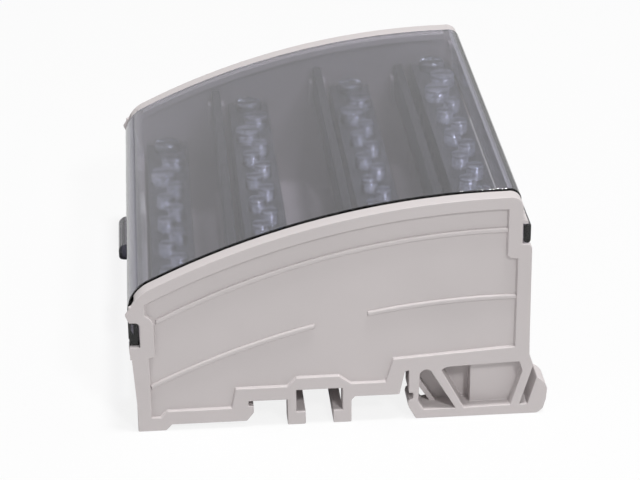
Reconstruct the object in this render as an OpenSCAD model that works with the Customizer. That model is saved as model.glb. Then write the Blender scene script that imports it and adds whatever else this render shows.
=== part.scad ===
// Power distribution block for a 35 mm rail: a light grey base with a stepped inside,
// four plated terminal bars with clamp screws, three barriers and a hinged smoked cover.
// X runs across the rail, Y along it and Z up. Sizes are in millimetres.

/* [Body] */
// Length of the block along the rail
block_length = 104; // [88:1:144]
// Width of the base, from the left foot to the right wall
base_width = 84.2; // [82:0.1:88]
// Height of the end walls at their crown
crown_height = 51.9; // [50:0.1:56]
// Radius of the arched top
crown_radius = 171.5; // [150:0.5:200]
// Thickness of the side walls and the floor
wall = 2.4; // [1.6:0.1:2.8]
// Thickness of the end walls
end_wall = 3.5; // [3:0.1:4.5]
// Depth of the sunken panel on the outside of each end wall
relief = 0.8; // [0.4:0.1:1.2]
// Width of the raised frame around that panel
frame_band = 2.8; // [2:0.1:3.6]
// Width of the moulded ribs on the panel
rib_width = 1.1; // [0.6:0.1:2]
// Height of those ribs above the panel
rib_height = 0.5; // [0.2:0.1:0.8]

/* [Rail foot] */
// Width of the rail that the block clips onto
rail_width = 35; // [34:0.5:36]
// Distance from the left foot to the hooked edge of the rail
rail_left = 24; // [22:0.1:24.5]
// Thickness of the rail's brim
rail_brim = 1; // [0.8:0.1:1.3]
// Height of the rail seat above the feet
seat_height = 6.2; // [5.6:0.1:7]
// Depth of the legs along the rail
foot_depth = 4.6; // [3.6:0.1:8]
// Depth of the clip along the rail
clip_depth = 6.4; // [5.6:0.1:8]
// Width of the slot between the two legs
leg_gap = 6; // [4:0.1:7]
// Height of the toes on the legs
toe_height = 3.1; // [2:0.1:4]
// How far the release tab of the clip reaches past the right wall
clip_reach = 4.4; // [4:0.1:6]

/* [Cover] */
// Wall of the cover
cover_wall = 2; // [1.4:0.1:2.4]
// How far the cover stands above the end walls
cover_proud = 0.2; // [0:0.05:0.4]
// Drop from the arched top to the cover's left lip
flank_height = 11.2; // [10.7:0.1:11.7]
// Drop from the crown to the hinge axis
hinge_drop = 10; // [9.6:0.1:10.4]
// Thickness of the hinge rail along the cover's right edge
hinge_rail = 1.6; // [1.2:0.1:1.8]
// Length of the pull tab on the left lip
tab_length = 15; // [10:1:40]
// How far the pull tab stands out from the lip
tab_reach = 2; // [1.6:0.1:3]
// Height of the pull tab
tab_height = 3.9; // [3:0.1:5]

/* [Terminals] */
// Distance from the left foot to the middle of the lowest bar
row_inset = 9.7; // [9:0.1:11]
// Distance between the two bars on each side of the middle gap
row_pitch = 20.2; // [19:0.1:21]
// Gap between a bar and the barrier on its left
barrier_gap = 2; // [1.4:0.1:2.4]
// Width of a terminal bar
bar_width = 9.6; // [8.6:0.1:10]
// Height of a terminal bar
bar_height = 13.5; // [12.5:0.1:14]
// Diameter of the two line wire holes in each bar
line_hole = 7.6; // [6:0.1:8]
// Diameter of the branch wire holes in each bar
branch_hole = 5.2; // [3.5:0.1:5.4]
// Distance between line wire holes
line_pitch = 9; // [8.8:0.1:10]
// Distance between branch wire holes
branch_pitch = 6.4; // [6.2:0.1:8]
// Diameter of the line screws
line_screw = 6; // [5:0.1:6.4]
// Diameter of the branch screws
branch_screw = 4; // [3.6:0.1:5]
// Diameter of the screws that fix a bar to the base
fixing_screw = 3.4; // [2.5:0.1:4]
// Height of the backed-off clamp screws above their bar
screw_proud = 2.7; // [2:0.1:3.4]
// Thickness of the barriers between the bars
barrier_wall = 2; // [1:0.1:2.2]
// Height of the barriers
barrier_height = 8.2; // [6:0.1:8.4]

/* [Clearances] */
// Gap around the cover's lugs and hinge rail
cover_gap = 0.15; // [0.1:0.05:0.25]
// Gap between the cover's arch and the end walls
arch_gap = 0.5; // [0.3:0.05:0.7]
// Gap around a screw in its thread
thread_gap = 0.05; // [0.03:0.01:0.1]
// Gap on each side of a barrier in its slots
slot_gap = 0.1; // [0.05:0.05:0.3]
// Gap between the ends of a bar and the end walls
bar_gap = 1; // [0.4:0.1:2]

/* [Hidden] */
$fn = 64;

// Overall places
half = block_length / 2;
inside = half - end_wall;
cover_out = 1;
x_min = -cover_out - cover_proud - tab_reach;
x_max = base_width + clip_reach;
mid_x = (x_min + x_max) / 2;

// Underside, from the left foot to the right wall
foot_width = 6;
foot_height = 1.4;
rail_right = rail_left + rail_width;
rail_back = rail_left - 0.2;
hook_x = rail_left + 0.9;
brim_z = seat_height - rail_brim - 0.15;
leg_x = rail_left + 15.1;
leg_in = leg_gap / 2 + 2;
leg_out = leg_in + 1.9;
leg_roof = seat_height + 2.2;
clip_x = rail_right - 0.6;
clip_roof = seat_height + 5.7;
right_roof = clip_roof + 1.2;

// Arched top: its centre, and the centres and limits of its two rounded ends, which cross it by the blend
crown_c = [base_width - 4.6, crown_height - crown_radius];
right_edge = base_width - 2.1;
left_r = 8;
right_r = 2.6;
blend = 0.03;
left_c = under_crown(-cover_out + left_r, left_r - blend);
right_c = under_crown(right_edge - right_r, right_r - blend);
left_a = turn_of(left_c - crown_c);
right_a = turn_of(right_c - crown_c);

// Cover lugs and hinge
lip_height = crown_at(-cover_out) - flank_height;
hinge_height = crown_height - hinge_drop;
wall_top = lip_height - cover_gap * 2;
notch_height = 5.7;
notch_top = lip_height + notch_height;
notch_x = 1.25;
beak_reach = 0.7;
beak_height = 3.9;
swing_room = 5;
hinge_x = right_edge + cover_gap + hinge_rail / 2;
hinge_top = hinge_height + 3.5;
shoulder_z = hinge_height - hinge_rail / 2 - cover_gap;
hook_width = 2.2;
hook_height = 1.6;
hook_root = 2.4;
hook_lift = 3.9;
hook_z = hinge_height + hook_lift;
arch_end = inside - arch_gap;

// Terminal rows and barriers: middle of each along X, and height of its top above the feet
bar_clear = 0.4;
last_row = right_edge + cover_proud - cover_wall - bar_clear - bar_width / 2;
row_x = [row_inset, row_inset + row_pitch, last_row - row_pitch, last_row];
row_drop = [13.75, 11.25, 12.85, 9.6];
row_top = [for (i = [0 : 3]) crown_at(row_x[i]) - row_drop[i]];
barrier_back = bar_width / 2 + barrier_gap + barrier_wall / 2;
barrier_x = [for (i = [0 : 2]) row_x[i + 1] - barrier_back];
barrier_drop = [5.05, 6.95, 9.65];
barrier_top = [for (i = [0 : 2]) crown_at(barrier_x[i]) - barrier_drop[i]];
holder_wall = 1;
holder_floor = 1.5;

// Terminal bars
bar_length = 2 * (inside - bar_gap);
bar_end = 8.2;
hole_depth = 8;
zigzag = 1.2;
line_count = 2;
branch_count = floor((bar_length - 2 * bar_end - line_count * line_pitch) / branch_pitch + 0.001);
branch_span = branch_count * branch_pitch;
span = branch_span + line_count * line_pitch;
fixing_y = bar_length / 2 - bar_end / 2;
fixing_depth = 6;
support_depth = bar_end - 0.2 + bar_gap;
window_half = inside - support_depth - 0.5;
holder_depth = bar_gap + 2.2;

// Helpers

function under_crown(x, d) =
    [x, crown_c.y + sqrt(pow(crown_radius - d, 2) - pow(x - crown_c.x, 2))];
function crown_at(x) = under_crown(x, 0).y;
function turn_of(v) = atan2(v.y, v.x);
function ray(a, r) = [r * cos(a), r * sin(a)];
function bar_bottom(i) = row_top[i] - bar_height;
function fixing_reach(i) = min(fixing_depth, bar_bottom(i) - foot_height - wall - 0.5);
function hole_z(i) = row_top[i] - hole_depth;
function branch_y(k) = -span / 2 + branch_pitch * (k + 0.5);
function line_y(k) = -span / 2 + branch_span + line_pitch * (k + 0.5);
function side(k) = k % 2 == 0 ? zigzag : -zigzag;

// Puts a piece drawn from the left foot into the shared frame
module placed() {
    translate([-mid_x, 0, 0]) children();
}

// Extrudes a profile drawn in X and Z from one Y to another
module prism(y0, y1) {
    translate([0, y1, 0]) rotate([90, 0, 0]) linear_extrude(y1 - y0) children();
}

// Makes the same thing at both ends of the block
module both_ends() {
    children();
    mirror([0, 1, 0]) children();
}

// Rounds the corner of a profile between two directions from a centre
module round_off(c, r, a0, a1) {
    difference() {
        children();
        polygon([c, c + ray(a0, 12), c + ray((a0 + a1) / 2, 20), c + ray(a1, 12)]);
    }
    translate(c) circle(r);
}

// Arched profile that the end walls and the cover share, grown by d, from z0 up
module arch(d, z0) {
    intersection() {
        translate([-cover_out - d, z0])
            square([right_edge + cover_out + 2 * d, crown_height + 2 - z0]);
        round_off(right_c, right_r + d, 0, right_a)
            round_off(left_c, left_r + d, left_a, 180)
                translate(crown_c) intersection() {
                    circle(crown_radius + d);
                    translate([-cover_out - d - crown_c.x, 0])
                        square([right_edge + cover_out + 2 * d, crown_radius + 2]);
                }
    }
}

// Underside of the base, shared by its trough and its end walls
under = [
    [0, 0], [foot_width, 0], [foot_width + 1.3, foot_height], [hook_x - 1.5, foot_height],
    [hook_x, foot_height + 1.9], [hook_x, brim_z], [rail_back, brim_z], [rail_back, seat_height],
    [leg_x - leg_in, seat_height], [leg_x - leg_in, leg_roof],
    [leg_x + leg_in, leg_roof], [leg_x + leg_in, seat_height],
    [clip_x - 2, seat_height], [clip_x - 0.9, clip_roof - 0.3], [clip_x - 0.3, clip_roof],
    [base_width - 2.3, right_roof], [base_width + 1.1, right_roof - 1.6], [base_width + 0.2, right_roof + 0.9]
];

// Outside of the base below the cover
module body_outline(left_top) {
    polygon(concat(under, [
        [base_width, shoulder_z - 0.9], [base_width - 0.6, shoulder_z], [right_edge - 2, shoulder_z],
        [right_edge - 2, left_top], [-0.7, left_top], [-0.7, lip_height - 2.5], [0, lip_height - 13.6]
    ]));
}

// Base

// Stepped trough between the end walls
module trough() {
    prism(-inside - 0.5, inside + 0.5) difference() {
        body_outline(wall_top);
        polygon([
            [wall, foot_height + wall], [rail_back - wall, foot_height + wall],
            [rail_back - wall, seat_height + wall], [leg_x - leg_out, seat_height + wall],
            [leg_x - leg_in, leg_roof + wall], [leg_x + leg_in, leg_roof + wall],
            [leg_x + leg_out, seat_height + wall], [clip_x - 2 - wall, seat_height + wall],
            [clip_x - 0.9 - wall, clip_roof + wall], [base_width - wall, right_roof + wall],
            [base_width - wall, crown_height], [wall, crown_height]
        ]);
    }
}

// Outline of an end wall, with the beak over the left lug and the bump over the end of the hinge rail
module end_outline() {
    body_outline(wall_top);
    arch(0, lip_height - 3);
    polygon([
        [-0.7, lip_height - 2.5], [-1.06, lip_height - 1.7], [-1.15, lip_height - 0.3],
        [0, lip_height - 0.1], [2, lip_height - 3]
    ]);
    polygon([
        [-cover_out + 0.1, notch_top], [-cover_out - beak_reach, notch_top + 0.5 * beak_height],
        [-cover_out + 0.1, notch_top + 0.8 * beak_height], [-cover_out + 0.1, notch_top + beak_height],
        [0, notch_top + beak_height], [1, notch_top + 0.5 * beak_height]
    ]);
    bump = hinge_top + 0.3;
    polygon([
        [right_edge - 1, bump], [right_edge + 1.1, bump], [right_edge + 1.1, bump + 0.4],
        [right_edge + 0.7, bump + 0.9], [right_edge - 1, bump + 1.2]
    ]);
}

// Notch in the frame that shows the cover's left lug, shrunk by d for the lug itself
module lug_shape(x0, d) {
    z0 = lip_height - 0.1 + d;
    top = notch_top - d;
    right = notch_x - d;
    translate([x0, z0]) square([right - x0, top - 1 - z0]);
    translate([x0, z0]) square([right - 1 - x0, top - z0]);
    translate([right - 1, top - 1]) circle(1);
}

// Way for the lug behind the frame, wide enough for the cover to swing up
module lug_way() {
    polygon([
        [-swing_room, lip_height - 0.1], [notch_x + 0.1, lip_height - 0.1], [notch_x + 0.1, notch_top - 0.8],
        [notch_x - 0.25, notch_top + 0.6], [notch_x - 0.6, notch_top + 2.7],
        [notch_x - 0.95, notch_top + 5.2], [notch_x - 1.4, notch_top + 8], [-swing_room, notch_top + 8]
    ]);
}

// Sunken panel inside the raised frame, which runs round the lug's notch
module panel() {
    b = frame_band + 0.2;
    turn = notch_top - 1.1;
    intersection() {
        translate(crown_c) circle(crown_radius - frame_band);
        difference() {
            polygon([
                [b, foot_height + 1.8], [b + 2, foot_height + 1.8], [b + 3.3, foot_height + b + 0.3],
                [rail_back - b - 0.6, foot_height + b + 0.3], [rail_back - b + 0.3, seat_height + b + 0.2],
                [leg_x - leg_out, seat_height + b + 0.2], [leg_x - leg_in, leg_roof + b],
                [leg_x + leg_in - 0.8, leg_roof + b], [leg_x + leg_out, seat_height + b + 0.2],
                [clip_x - 2 - b, seat_height + b + 0.2], [clip_x - 0.4 - b, clip_roof + b],
                [base_width - b, right_roof + b + 0.5], [base_width - b, hinge_height - 4.3],
                [right_edge - b + 0.6, hinge_height - 4.2], [right_edge - b - 0.1, hinge_height - 3.5],
                [right_edge - b - 0.1, crown_height],
                [2.5, crown_height], [2.5, turn], [notch_x + b, turn],
                [notch_x + b, lip_height - 2.5], [b, lip_height - 3]
            ]);
            translate([notch_x, turn]) circle(b);
        }
    }
}

// Curved moulded ribs on the panel; the lower one is broken by a bare field
module ribs() {
    bare_width = 11.3;
    bare_x = (base_width - bare_width) / 2 + 1.75;
    intersection() {
        arc_band(crown_c, crown_radius - 7.7);
        translate([4.7, 0]) square([right_edge - 7.8, crown_height]);
    }
    intersection() {
        arc_band(crown_c - [0, 23.4], crown_radius);
        union() {
            translate([3.1, 0]) square([bare_x - 3.1, crown_height]);
            translate([bare_x + bare_width, 0])
                square([base_width - bare_x - bare_width - frame_band - 0.2, crown_height]);
        }
    }
}

module arc_band(c, r) {
    translate(c) difference() {
        circle(r + rib_width / 2);
        circle(r - rib_width / 2);
    }
}

// Flexible clip foot with its braces and release tab
module clip_outline() {
    w = base_width;
    polygon([
        [clip_x, clip_roof + 1], [clip_x, seat_height + 0.2], [clip_x + 1, seat_height + 0.2],
        [clip_x + 1, brim_z], [clip_x, brim_z - 0.4], [clip_x - 0.2, 3.7], [clip_x + 0.1, 2.8],
        [clip_x + 1.6, 0], [w + 2.2, 0], [w + 2.8, 0.3], [w + 3.6, 1.1],
        [x_max - 0.2, 3.3], [x_max, 5.9], [x_max - 0.5, 7.3], [x_max - 1.3, 8.2], [w + 2.2, 8.7],
        [w + 1.9, 8.5], [w + 0.1, 2.4], [w - 1.6, 2.4], [w + 0.7, 10.4], [w + 1.1, 12], [w, right_roof + 2]
    ]);
}

// Left window, with a round top
module clip_window_left() {
    c = [clip_x + 3.75, clip_roof - 1.4];
    polygon([
        c + [-1.36, 0], c, c + [1.17, 0.68], [clip_x + 10.2, 2.2], [clip_x + 3.3, 2.2], [clip_x + 2.1, 4.2]
    ]);
    translate(c) circle(1.4);
}

module clip_window_right(x0) {
    w = base_width;
    intersection() {
        polygon([
            [clip_x + 7.1, clip_roof - 0.35], [clip_x + 12, 2.2], [w - 3.7, 2.4], [w - 1.15, 10.6],
            [w - 1.9, right_roof + 0.1], [clip_x + 8.7, clip_roof + 0.45], [clip_x + 7.6, clip_roof + 0.2]
        ]);
        translate([clip_x, 0]) square([x0 - clip_x, crown_height]);
    }
}

// Open side of the clip's back web, left of its sloping edge, grown by d
module clip_back_open(d) {
    z1 = seat_height + 2.4;
    polygon([
        [clip_x - 3, 0], [clip_x + 5.1 + d, 0], [clip_x + 5.1 + d, 2], [clip_x + 1 + d, z1], [clip_x - 3, z1]
    ]);
}

// The clip's windows are pockets with a back web, and only the left one opens through it
module clip() {
    web_x = clip_x + 13.6;
    back = -half + clip_depth;
    difference() {
        prism(-half, back) clip_outline();
        prism(-half - 1, back - 2.6) clip_window_left();
        prism(-half - 1, back - 1.2) {
            difference() {
                clip_window_left();
                clip_back_open(1.3);
            }
            clip_window_right(web_x);
        }
        prism(-half - 1, back + 1) intersection() {
            clip_window_left();
            clip_back_open(0);
        }
        prism(-half - 1, -half + 2.5) clip_window_right(base_width);
    }
}

// One leg web, from y0 to y1
module leg_webs(y0, y1) {
    prism(y0, y1) {
        translate([leg_x - leg_out, 0]) square([leg_out - leg_in, leg_roof + 1]);
        translate([leg_x + leg_in, 0]) square([leg_out - leg_in, leg_roof + 1]);
        polygon([
            [leg_x + leg_out - 0.1, seat_height - 1], [leg_x + leg_out + 0.9, seat_height + 0.1],
            [leg_x + leg_out - 0.1, seat_height + 0.1]
        ]);
    }
}

// Toes of the legs run the whole length, joined to the floor by webs
module legs() {
    prism(-half, half) {
        translate([leg_x - leg_in, 0]) square([2, toe_height]);
        translate([leg_x + leg_in - 2, 0]) square([2, toe_height]);
    }
    both_ends() leg_webs(-half, -half + foot_depth);
    both_ends() leg_webs(-half / 3 - foot_depth / 2, -half / 3 + foot_depth / 2);
}

// End wall with everything that stands on its two faces
module end_wall_near() {
    difference() {
        prism(-half, -inside) end_outline();
        prism(-half - 1, -half + relief) panel();
        prism(-half - 1, -inside + 1) lug_shape(-swing_room, 0);
        prism(-half + relief, -inside + 1) lug_way();
    }
    prism(-half + relief - rib_height, -half + relief + 0.4) ribs();
    cover_ledge();
    hinge_hook();
    barrier_holders();
    bar_supports();
}

// Ledge under the end of the cover's arch
module cover_ledge() {
    r = crown_radius + cover_proud - cover_wall - 0.1;
    prism(-inside - 0.5, -inside + arch_gap + 1.3) intersection() {
        translate(crown_c) difference() {
            circle(r);
            circle(r - 1.6);
        }
        translate([4, 0]) square([right_c.x - 5, crown_height]);
    }
}

// Hook that keeps the hinge rail of the cover down
module hinge_hook() {
    prism(-inside - 0.4, -inside + hook_width) polygon([
        [right_edge - hook_root, hook_z], [hinge_x + 0.2, hook_z], [hinge_x + 0.1, hook_z + hook_height - 1],
        [right_edge + 0.3, hook_z + hook_height], [right_edge - hook_root, hook_z + hook_height]
    ]);
}

// Pairs of rails that hold the ends of the barriers
module barrier_holders() {
    for (i = [0 : 2]) {
        z0 = barrier_top[i] - barrier_height;
        prism(-inside - 0.5, -inside + holder_depth) difference() {
            translate([barrier_x[i] - barrier_wall / 2 - holder_wall, z0 - holder_floor])
                square([barrier_wall + 2 * holder_wall, barrier_height + holder_floor - 3]);
            translate([barrier_x[i] - barrier_wall / 2 - slot_gap, z0])
                square([barrier_wall + 2 * slot_gap, barrier_height]);
        }
    }
}

// Steps that carry the ends of the bars
module bar_supports() {
    difference() {
        prism(-inside - 0.5, -inside + support_depth) intersection() {
            body_outline(wall_top);
            for (i = [0 : 3])
                translate([row_x[i] - bar_width / 2, 0]) square([bar_width, bar_bottom(i)]);
        }
        for (i = [0 : 3])
            translate([row_x[i], -fixing_y, bar_bottom(i) - fixing_reach(i) - 0.5])
                cylinder(d = fixing_screw + 2 * thread_gap, h = fixing_depth + bar_height);
    }
}

// Long openings in the side walls for the wires
module wire_windows() {
    translate([-5, -window_half, bar_bottom(0) - 0.8]) cube([5 + wall + 0.6, 2 * window_half, 30]);
    translate([base_width - wall - 0.6, -window_half, right_roof + 9])
        cube([wall + 5, 2 * window_half, hole_z(3) + line_hole / 2 + 0.2 - right_roof - 9]);
}

module base() {
    color("gainsboro") placed() {
        difference() {
            trough();
            wire_windows();
        }
        legs();
        both_ends() {
            end_wall_near();
            clip();
        }
    }
}

// Cover

// Arched shell without its lugs
module cover_section() {
    difference() {
        arch(cover_proud, lip_height);
        arch(cover_proud - cover_wall, lip_height - 1);
        translate([right_edge / 2, 0]) square([base_width, shoulder_z + 2 * cover_gap]);
    }
}

// Rail along the right edge, round about the hinge axis
module hinge_rail_shape() {
    translate([hinge_x, hinge_height]) circle(hinge_rail / 2);
    translate([hinge_x - hinge_rail / 2, hinge_height])
        square([hinge_rail, hinge_top - hinge_height]);
}

// Solid pull tab, rounded above and below, that hangs a little under the lip
module tab_shape() {
    z0 = lip_height - 1;
    z1 = z0 + tab_height;
    r0 = 0.9;
    r1 = 1.8;
    flank = -cover_out - cover_proud;
    translate([x_min + r0, z0 + r0]) circle(r0);
    translate([x_min + r1, z1 - r1]) circle(r1);
    translate([x_min, z0 + r0]) square([flank - x_min, z1 - r1 - z0 - r0]);
    translate([x_min + r0, z0]) square([flank - x_min - r0, r0]);
    translate([x_min + r1, z1 - r1]) square([flank - x_min - r1, r1]);
    translate([flank - 0.1, lip_height]) square([1, z1 - lip_height]);
}

module cover() {
    rail_web = inside - hook_width - 0.4;
    color("dimgray", 0.6) placed() {
        difference() {
            prism(-arch_end, arch_end) cover_section();
            both_ends() prism(-half, -rail_web) translate([right_edge - 3, shoulder_z])
                square([base_width, hook_z + hook_height + 0.5 - shoulder_z]);
        }
        prism(-half + 0.1, half - 0.1) hinge_rail_shape();
        prism(-rail_web, rail_web) translate([right_edge - 1, hinge_height])
            square([hinge_x - right_edge + 1, hinge_top - hinge_height]);
        both_ends() prism(-half + relief + cover_gap, -arch_end + 1.5) lug_shape(-cover_out, cover_gap);
        prism(-tab_length / 2, tab_length / 2) tab_shape();
    }
}

// Terminal bars and their screws

module terminal_bar(i) {
    color("slategray") placed() translate([row_x[i], 0, 0]) difference() {
        translate([-bar_width / 2, -bar_length / 2, bar_bottom(i)])
            cube([bar_width, bar_length, bar_height]);
        for (k = [0 : branch_count - 1])
            terminal_cut(i, branch_y(k), side(k), branch_hole, branch_screw);
        for (k = [0 : line_count - 1])
            terminal_cut(i, line_y(k), side(branch_count + k), line_hole, line_screw);
        for (y = [-fixing_y, fixing_y])
            translate([0, y, bar_bottom(i) - 1]) cylinder(d = fixing_screw + 0.3, h = bar_height + 2);
    }
}

// Wire hole across the bar, and the threaded hole that meets it from above
module terminal_cut(i, y, x, hole, screw) {
    translate([-bar_width, y, hole_z(i)]) rotate([0, 90, 0]) cylinder(d = hole, h = 2 * bar_width);
    translate([x, y, hole_z(i) + hole / 4]) cylinder(d = screw + 2 * thread_gap, h = bar_height);
}

// Headless slotted screw, backed off until its tip is clear of the wire hole
module clamp_screw(i, y, x, hole, screw) {
    tip = hole_z(i) + hole / 2 + 0.1;
    top = row_top[i] + screw_proud;
    translate([row_x[i] + x, y, 0]) difference() {
        translate([0, 0, tip]) cylinder(d = screw, h = top - tip);
        translate([-screw, -0.5, top - 1.3]) cube([2 * screw, 1, 2]);
    }
}

module line_screws(i) {
    color("lightsteelblue") placed() for (k = [0 : line_count - 1])
        clamp_screw(i, line_y(k), side(branch_count + k), line_hole, line_screw);
}

module branch_screws(i) {
    color("lightsteelblue") placed() for (k = [0 : branch_count - 1])
        clamp_screw(i, branch_y(k), side(k), branch_hole, branch_screw);
}

// Pan-head screws through the ends of the bar into the steps of the base
module bar_fixing_screws(i) {
    head = 1.8 * fixing_screw;
    color("silver") placed() for (y = [-fixing_y, fixing_y])
        translate([row_x[i], y, 0]) difference() {
            union() {
                translate([0, 0, bar_bottom(i) - fixing_reach(i)])
                    cylinder(d = fixing_screw, h = bar_height + fixing_reach(i) + 1);
                translate([0, 0, row_top[i]]) cylinder(d = head, h = 2.2);
            }
            translate([-head, -0.5, row_top[i] + 1.1]) cube([2 * head, 1, 2]);
        }
}

// Upright insulating strip between two bars
module barrier(i) {
    color("dimgray") placed()
        translate([barrier_x[i] - barrier_wall / 2, -inside + 0.2, barrier_top[i] - barrier_height])
            cube([barrier_wall, 2 * inside - 0.4, barrier_height]);
}

base();
cover();
terminal_bar(0);  // terminal_bar_1
terminal_bar(1);  // terminal_bar_2
terminal_bar(2);  // terminal_bar_3
terminal_bar(3);  // terminal_bar_4
line_screws(0);  // line_screws_1
line_screws(1);  // line_screws_2
line_screws(2);  // line_screws_3
line_screws(3);  // line_screws_4
branch_screws(0);  // branch_screws_1
branch_screws(1);  // branch_screws_2
branch_screws(2);  // branch_screws_3
branch_screws(3);  // branch_screws_4
bar_fixing_screws(0);  // bar_fixing_screws_1
bar_fixing_screws(1);  // bar_fixing_screws_2
bar_fixing_screws(2);  // bar_fixing_screws_3
bar_fixing_screws(3);  // bar_fixing_screws_4
barrier(0);  // barrier_1
barrier(1);  // barrier_2
barrier(2);  // barrier_3
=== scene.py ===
import math

import bmesh
import bpy
from mathutils import Matrix, Vector
from mathutils.kdtree import KDTree


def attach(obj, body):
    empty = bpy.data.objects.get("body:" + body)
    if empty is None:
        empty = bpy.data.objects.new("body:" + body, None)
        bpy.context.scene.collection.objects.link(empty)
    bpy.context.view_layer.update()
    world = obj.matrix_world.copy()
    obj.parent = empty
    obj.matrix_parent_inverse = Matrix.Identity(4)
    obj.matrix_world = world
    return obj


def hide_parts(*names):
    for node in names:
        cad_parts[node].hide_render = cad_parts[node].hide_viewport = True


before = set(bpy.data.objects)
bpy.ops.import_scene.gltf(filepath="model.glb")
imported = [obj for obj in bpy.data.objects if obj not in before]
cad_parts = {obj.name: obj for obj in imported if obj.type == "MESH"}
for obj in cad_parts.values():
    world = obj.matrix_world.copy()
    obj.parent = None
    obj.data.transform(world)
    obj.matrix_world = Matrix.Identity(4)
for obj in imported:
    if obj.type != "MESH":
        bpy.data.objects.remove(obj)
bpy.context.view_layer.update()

scene = bpy.context.scene
MM = 0.001

# Camera
# It stands where the photograph was taken: a long lens, a little to the left of the
# near end wall and looking down on it, so that the end wall shows almost square on.
camera_place = Vector((-35.884, -470.113, 245.837)) * MM
camera_yaw, camera_pitch, camera_roll = (math.radians(a) for a in (4.46813, 25.70393, 0.50624))
focal_pixels, image_width, film_width = 2240.49, 640, 36.0
nearest_seen, farthest_seen = 0.05, 20.0

ahead = Vector((math.sin(camera_yaw) * math.cos(camera_pitch),
                math.cos(camera_yaw) * math.cos(camera_pitch), -math.sin(camera_pitch)))
level_right = Vector((math.cos(camera_yaw), -math.sin(camera_yaw), 0))
level_down = ahead.cross(level_right)
right = level_right * math.cos(camera_roll) + level_down * math.sin(camera_roll)
down = level_down * math.cos(camera_roll) - level_right * math.sin(camera_roll)

camera = bpy.data.cameras.new("camera")
camera.sensor_fit, camera.sensor_width = "HORIZONTAL", film_width
camera.lens = focal_pixels / image_width * film_width
camera.clip_start, camera.clip_end = nearest_seen, farthest_seen
camera_object = bpy.data.objects.new("camera", camera)
camera_object.matrix_world = Matrix.Translation(camera_place) @ Matrix(
    (right, -down, -ahead)).transposed().to_4x4()
scene.collection.objects.link(camera_object)
scene.camera = camera_object


# Shader maths
# One socket of a material's nodes, so that the finishes below read as plain sums. A sum on
# values adds Math nodes, and any other node comes from the node method.
class Field:
    def __init__(self, tree, socket):
        self.tree, self.socket = tree, socket

    def node(self, kind, settings=None, inputs=None, output=0):
        made = self.tree.nodes.new("ShaderNode" + kind)
        for key, value in (settings or {}).items():
            setattr(made, key, value)
        for key, value in (inputs or {}).items():
            if isinstance(value, Field):
                self.tree.links.new(value.socket, made.inputs[key])
            else:
                made.inputs[key].default_value = value
        return Field(self.tree, made.outputs[output])

    def sum(self, operation, first, second):
        return self.node("Math", {"operation": operation}, {0: first, 1: second})

    def __add__(self, other):
        return self.sum("ADD", self, other)

    def __radd__(self, other):
        return self.sum("ADD", other, self)

    def __mul__(self, other):
        return self.sum("MULTIPLY", self, other)

    def __rmul__(self, other):
        return self.sum("MULTIPLY", other, self)

    def larger(self, other):
        return self.sum("MAXIMUM", self, other)

    def mix(self, low, high):
        return self.node("Mix", {"data_type": "RGBA"}, {0: self, 6: low, 7: high}, output=2)

    def noise(self, scale, detail=2.0):
        return self.node("TexNoise", None, {"Vector": self, "Scale": scale, "Detail": detail})

    def stretched(self, scale):
        return self.node("Mapping", None, {"Vector": self, "Scale": scale})

    def clipped(self, low, high):
        return self.node("MapRange", {"clamp": True}, {
            "Value": self, "From Min": low, "From Max": high})

    def bump(self, strength, depth):
        return self.node("Bump", None, {"Strength": strength, "Distance": depth, "Height": self})

    # Is 1 for light of one kind, such as what the camera sees, and 0 for the rest
    def ray(self, kind):
        return self.node("LightPath", output=f"Is {kind} Ray")


# Starts a finish: a Principled shader with its plain settings, and the place on the piece
def new_finish(name, **settings):
    material = bpy.data.materials.new(name)
    material.use_nodes = True
    tree = material.node_tree
    shader = tree.nodes["Principled BSDF"]
    for key, value in settings.items():
        shader.inputs[key.replace("_", " ")].default_value = value
    place = Field(tree, tree.nodes.new("ShaderNodeTexCoord").outputs["Object"])
    return material, shader, place


def feed(shader, **fields):
    for key, field in fields.items():
        field.tree.links.new(field.socket, shader.inputs[key.replace("_", " ")])


# Puts another shader over the Principled one, by a factor that varies, and shows the mix
def overlay(shader, factor, other):
    mixed = factor.node("MixShader", None, {
        0: factor, 1: Field(factor.tree, shader.outputs[0]), 2: other})
    feed(factor.tree.nodes["Material Output"], Surface=mixed)


# Floor and light
# A white sweep under the block with a soft shadow, one lamp in front and to the right, one
# overhead and a weak broad one at the left, as for a catalogue picture.
white = (1, 1, 1, 1)
floor_half_width, floor_drop = 3.0, 0.02 * MM
floor_grey, floor_whitening = (0.72, 0.72, 0.72, 1), 0.85
air_lighting, air_seen = 0.25, 1.0

floor_mesh = bmesh.new()
bmesh.ops.create_grid(floor_mesh, x_segments=1, y_segments=1, size=floor_half_width)
bmesh.ops.translate(floor_mesh, verts=floor_mesh.verts, vec=(0, 0, -floor_drop))
floor_data = bpy.data.meshes.new("floor")
floor_mesh.to_mesh(floor_data)
floor_mesh.free()
floor = bpy.data.objects.new("floor", floor_data)
scene.collection.objects.link(floor)

floor_finish, floor_shader, floor_place = new_finish(
    "floor_white", Roughness=0.9, Base_Color=floor_grey)
floor_glow = floor_place.node("Emission", None, {"Color": white, "Strength": 1.0})
overlay(floor_shader, floor_place.ray("Camera") * floor_whitening, floor_glow)
floor_data.materials.append(floor_finish)

world = bpy.data.worlds.new("studio")
world.use_nodes = True
scene.world = world
backdrop = world.node_tree.nodes["Background"]
backdrop.inputs["Color"].default_value = white
air = Field(world.node_tree, backdrop.outputs[0])
looking = air.ray("Camera").larger(air.ray("Transmission")).larger(air.ray("Glossy"))
feed(backdrop, Strength=air_lighting + (air_seen - air_lighting) * looking)


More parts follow.
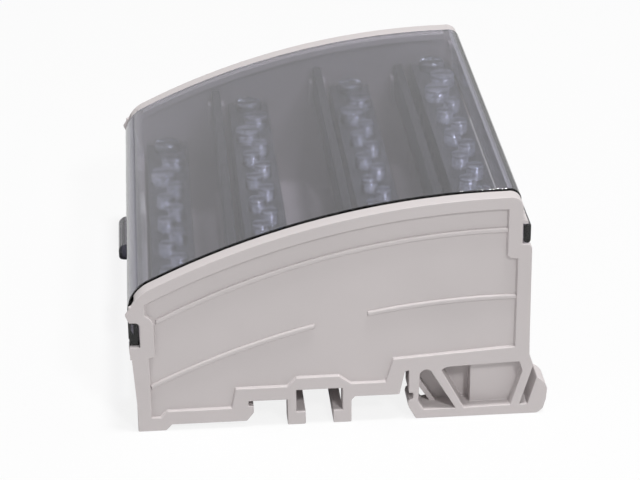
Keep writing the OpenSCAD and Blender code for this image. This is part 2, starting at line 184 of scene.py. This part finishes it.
def add_lamp(name, place, size, watts):
    lamp = bpy.data.lights.new(name, "AREA")
    lamp.shape, lamp.size, lamp.energy = "DISK", size, watts
    lamp_object = bpy.data.objects.new(name, lamp)
    lamp_object.location = place
    lamp_object.rotation_euler = (-Vector(place)).to_track_quat("-Z", "Y").to_euler()
    scene.collection.objects.link(lamp_object)


add_lamp("front_lamp", place=(0.42, -0.95, 0.90), size=0.20, watts=6.3)
add_lamp("top_lamp", place=(0.18, -0.14, 1.22), size=0.20, watts=11.0)
add_lamp("fill_lamp", place=(-0.9, -0.6, 0.5), size=0.6, watts=1.2)
scene.view_settings.view_transform = "Standard"

# Base
# One light grey plastic moulding: end walls, stepped trough, rail hook, legs and clip feet.
# It is the CAD solid with the small rounding that a mould leaves on every edge.
edge_round, edge_steps = 0.22 * MM, 2
rib_level, rib_round, rib_steps = 51.7 * MM, 0.4 * MM, 4
same_place, same_corner, same_level = 0.002 * MM, 0.001 * MM, 0.01 * MM
flat_angle, sharp_angle, smooth_angle = (math.radians(a) for a in (1, 28, 35))
least_fold, fold_reach = 0.002 * MM * MM, 3
warm_grey, pale_grey = (0.54, 0.502, 0.502, 1), (0.56, 0.52, 0.52, 1)


def cad_copy(node):
    shape = bmesh.new()
    shape.from_mesh(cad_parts[node].data)
    bmesh.ops.remove_doubles(shape, verts=shape.verts, dist=same_place)
    bmesh.ops.dissolve_limit(shape, angle_limit=flat_angle, verts=shape.verts, edges=shape.edges)
    return shape


def sharp_edges(shape):
    return [edge for edge in shape.edges
            if len(edge.link_faces) == 2 and edge.calc_face_angle() > sharp_angle]


# The corners of the triangles that lie the wrong way round in their face
def folded_corners(shape):
    corners = []
    for loops in shape.calc_loop_triangles():
        a, b, c = (loop.vert.co for loop in loops)
        turned = (b - a).cross(c - a)
        if turned.length > least_fold and turned.dot(loops[0].face.normal) < 0:
            corners += [a.copy(), b.copy(), c.copy()]
    return corners


# Rounds the edges by the full amount, and leaves out those near which a face would fold over
def rounded(shape, edges, rounding, steps):
    shape.edges.index_update()
    chosen = {edge.index: [vert.co.copy() for vert in edge.verts] for edge in edges}
    while True:
        trial = shape.copy()
        trial.edges.ensure_lookup_table()
        bmesh.ops.bevel(trial, geom=[trial.edges[k] for k in chosen], offset=rounding,
                        offset_type="OFFSET", segments=steps, profile=0.5, affect="EDGES",
                        clamp_overlap=False, material=-1)
        bmesh.ops.remove_doubles(trial, verts=trial.verts, dist=same_corner)
        trial.normal_update()
        corners = folded_corners(trial)
        near = KDTree(len(corners))
        for corner in corners:
            near.insert(corner, 0)
        near.balance()
        kept = {k: ends for k, ends in chosen.items()
                if not corners or min(near.find(end)[2] for end in ends) > fold_reach * rounding}
        if len(kept) == len(chosen):
            shape.free()
            return trial
        trial.free()
        chosen = kept


# Makes the object that takes a CAD node's place, smooth over its roundings and flat elsewhere
def finished(shape, node, name):
    data = bpy.data.meshes.new(name)
    shape.to_mesh(data)
    shape.free()
    data.shade_smooth()
    data.set_sharp_from_angle(angle=smooth_angle)
    piece = bpy.data.objects.new(name, data)
    scene.collection.objects.link(piece)
    flat = piece.modifiers.new("flat_faces", "WEIGHTED_NORMAL")
    flat.mode, flat.weight, flat.keep_sharp = "FACE_AREA", 100, True
    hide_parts(node)
    return piece


# A face of the ribs reaches as far along the block as the ribs stand, and no farther
def on_rib(face):
    return abs(max(abs(vert.co.y) for vert in face.verts) - rib_level) < same_level


def is_crest(edge):
    return all(map(on_rib, edge.link_faces)) and all(
        abs(abs(vert.co.y) - rib_level) < same_level for vert in edge.verts)


grey_finish, grey_shader, grey_place = new_finish("grey_moulded_plastic", Specular_IOR_Level=0.4)
grain, cloud = grey_place.noise(4200.0, 3.0), grey_place.noise(45.0)
feed(grey_shader,
     Base_Color=cloud.clipped(0.35, 0.65).mix(warm_grey, pale_grey),
     Roughness=0.44 + 0.14 * grain,
     Normal=grain.bump(0.12, 0.05 * MM))

moulding = cad_copy("base")
plain = [edge for edge in sharp_edges(moulding) if not any(map(on_rib, edge.link_faces))]
moulding = rounded(moulding, plain, edge_round, edge_steps)
crests = [edge for edge in sharp_edges(moulding) if is_crest(edge)]
moulding = rounded(moulding, crests, rib_round, rib_steps)
base = finished(moulding, "base", "base_moulding")
base.data.materials.append(grey_finish)
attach(base, "block")

# Terminal bars
# Four drawn copper alloy bars with a matt tin plating, drilled across for the wires and
# tapped from above for the screws. They rest on the steps at both ends of the base.
# The plating is painted far darker than tin, as painted shade for the dim inside of the cover.
bar_round = 0.25 * MM
draw_lines = (1600.0, 60.0, 1600.0)
# Both plating tones are painted far darker than tin, as painted shade; the stain between them
# varies at random
tin_darkened_as_shade, stained_tin_darkened_as_shade = (0.15, 0.154, 0.165, 1), (0.11, 0.114, 0.125, 1)


def rounded_copy(node, name, rounding):
    shape = cad_copy(node)
    return finished(rounded(shape, sharp_edges(shape), rounding, edge_steps), node, name)


# Plating colour darkened as painted shade for the inside of the cover
tin_finish, tin_shader, tin_place = new_finish("tin_plating_darkened_as_shade", Metallic=1.0)
drawn, stain = tin_place.stretched(draw_lines).noise(1.0, 4.0), tin_place.noise(160.0, 3.0)
feed(tin_shader,
     Base_Color=stain.clipped(0.4, 0.7).mix(tin_darkened_as_shade, stained_tin_darkened_as_shade),
     Roughness=0.34 + 0.18 * drawn,
     Normal=drawn.bump(0.15, 0.03 * MM))
for row in (1, 2, 3, 4):
    bar = rounded_copy(f"terminal_bar_{row}", f"plated_bar_{row}", bar_round)
    bar.data.materials.append(tin_finish)
    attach(bar, "block")

# Clamp screws
# Headless slotted screws of zinc-plated steel with a blue tint, backed off from their wires.
# The rim of each top is slightly rounded, and a V thread winds down the whole of its side.
clamp_screws = {"line_screws": (3.0 * MM, 1.0 * MM), "branch_screws": (2.0 * MM, 0.7 * MM)}
groove_share, rim_round, rim_steps = 0.5, 0.18 * MM, 4
longest_rim_edge, wall_slack = 1.5 * MM, 0.02 * MM
rows_per_turn = 6
pale_blue_zinc, dark_blue_zinc = (0.60, 0.63, 0.71, 1), (0.30, 0.33, 0.40, 1)


def loose_groups(shape):
    found, groups = set(), []
    for start in shape.verts:
        reached, group = [start], []
        while reached:
            vert = reached.pop()
            if vert not in found:
                found.add(vert)
                group.append(vert)
                reached += [edge.other_vert(vert) for edge in vert.link_edges]
        if group:
            groups.append(group)
    return groups


def middle_of(group):
    return Vector([(min(along) + max(along)) / 2 for along in zip(*(vert.co for vert in group))])


# Winds a thread into the upright wall of one screw that stands at the origin
def cut_thread(shape, radius, pitch, depth):
    def on_wall(vert):
        return abs(vert.co.to_2d().length - radius) < wall_slack

    heights = [vert.co.z for vert in shape.verts if on_wall(vert)]
    low, high = min(heights), max(heights)
    rows = int((high - low) / pitch * rows_per_turn)
    for row in range(1, rows):
        level = low + (high - low) * row / rows
        bmesh.ops.bisect_plane(shape, geom=shape.verts[:] + shape.edges[:] + shape.faces[:],
                               dist=same_corner, plane_co=(0, 0, level), plane_no=(0, 0, 1))
    for vert in shape.verts:
        if on_wall(vert) and low < vert.co.z < high:
            turn = vert.co.z / pitch - math.atan2(vert.co.y, vert.co.x) / math.tau
            groove = 2 * abs(turn % 1 - 0.5)
            fade = min(1, (vert.co.z - low) / pitch, (high - vert.co.z) / pitch)
            vert.co.xy *= 1 - depth * groove * fade / radius


def corners_in(parts):
    return [part for part in parts if isinstance(part, bmesh.types.BMVert)]


# Takes one screw of a group from the CAD, finishes it and sets a copy of it in each place
def threaded_screws(node, name, radius, pitch, depth, rim):
    shape = cad_copy(node)
    groups = loose_groups(shape)
    places = [middle_of(group) for group in groups]
    spare = [vert for group in groups[1:] for vert in group]
    bmesh.ops.delete(shape, geom=spare, context="VERTS")
    bmesh.ops.translate(shape, verts=shape.verts, vec=-places[0])
    top = max(vert.co.z for vert in shape.verts)
    rims = [edge for edge in sharp_edges(shape) if edge.calc_length() < longest_rim_edge
            and min(vert.co.z for vert in edge.verts) > top - same_level]
    shape = rounded(shape, rims, rim, rim_steps)
    cut_thread(shape, radius, pitch, depth)
    first = shape.verts[:] + shape.edges[:] + shape.faces[:]
    for place in places[1:]:
        copied = bmesh.ops.duplicate(shape, geom=first)["geom"]
        bmesh.ops.translate(shape, verts=corners_in(copied), vec=place)
    bmesh.ops.translate(shape, verts=corners_in(first), vec=places[0])
    return finished(shape, node, name)


def zinc_plating(name, pale, dark):
    material, shader, place = new_finish(name, Metallic=1.0)
    bloom = place.noise(700.0, 3.0)
    feed(shader,
         Base_Color=bloom.clipped(0.35, 0.7).mix(pale, dark),
         Roughness=0.13 + 0.2 * bloom)
    return material


blue_zinc = zinc_plating("blue_zinc", pale_blue_zinc, dark_blue_zinc)
for kind, (radius, pitch) in clamp_screws.items():
    for row in (1, 2, 3, 4):
        screws = threaded_screws(f"{kind}_{row}", f"{kind}_plated_{row}",
                                 radius, pitch, groove_share * pitch, rim_round)
        screws.data.materials.append(blue_zinc)
        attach(screws, "block")

# Fixing screws
# Slotted pan-head screws of plain zinc-plated steel, one at each end of a bar, that hold the
# bar down on the steps of the base.
shank_radius, shank_pitch, shank_groove, pan_round = 1.7 * MM, 1.2 * MM, 0.4 * MM, 0.5 * MM
pale_zinc, dark_zinc = (0.30, 0.32, 0.36, 1), (0.22, 0.24, 0.28, 1)

plain_zinc = zinc_plating("plain_zinc", pale_zinc, dark_zinc)
for row in (1, 2, 3, 4):
    screws = threaded_screws(f"bar_fixing_screws_{row}", f"pan_head_screws_{row}",
                             shank_radius, shank_pitch, shank_groove, pan_round)
    screws.data.materials.append(plain_zinc)
    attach(screws, "block")

# Barriers
# Three thin strips of black insulating plastic that drop into rails on the end walls,
# one between each pair of bars. Their near-black is partly the plastic's own colour and
# partly painted shade, for the dark bands beside the bars.
barrier_round = 0.3 * MM
# Near-black, partly the sheet's own colour and partly painted shade for the dark bands beside
# the rows
deep_black_and_shade, soft_black_and_shade = (0.017, 0.017, 0.018, 1), (0.026, 0.026, 0.028, 1)

barrier_finish, barrier_shader, barrier_place = new_finish("barrier_black_and_painted_shade", Roughness=0.5)
feed(barrier_shader,
     Base_Color=barrier_place.noise(80.0).mix(deep_black_and_shade, soft_black_and_shade),
     Normal=barrier_place.noise(3000.0).bump(0.1, 0.04 * MM))
for row in (1, 2, 3):
    barrier = rounded_copy(f"barrier_{row}", f"barrier_strip_{row}", barrier_round)
    barrier.data.materials.append(barrier_finish)
    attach(barrier, "block")

# Cover
# One smoked, glossy moulding that arches over the terminals. The tint is in the plastic, so
# its lugs and edges, seen along the sheet, are almost black. A slight haze softens the rest.
cover_round = 0.25 * MM
smoke_tint, smoke_density = (0.42, 0.41, 0.50, 1), 420.0

smoke_finish, smoke_shader, smoke_place = new_finish(
    "smoked_clear_plastic", Base_Color=white, Roughness=0.06, IOR=1.5, Transmission_Weight=1.0)
straight = smoke_place.ray("Shadow").larger(smoke_place.ray("Diffuse"))
overlay(smoke_shader, straight, smoke_place.node("BsdfTransparent", None, {"Color": white}))
smoke = smoke_place.node("VolumeAbsorption", None, {
    "Color": smoke_tint, "Density": smoke_density})
feed(smoke.tree.nodes["Material Output"], Volume=smoke)
cover = rounded_copy("cover", "smoked_cover", cover_round)
cover.data.materials.append(smoke_finish)
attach(cover, "cover")
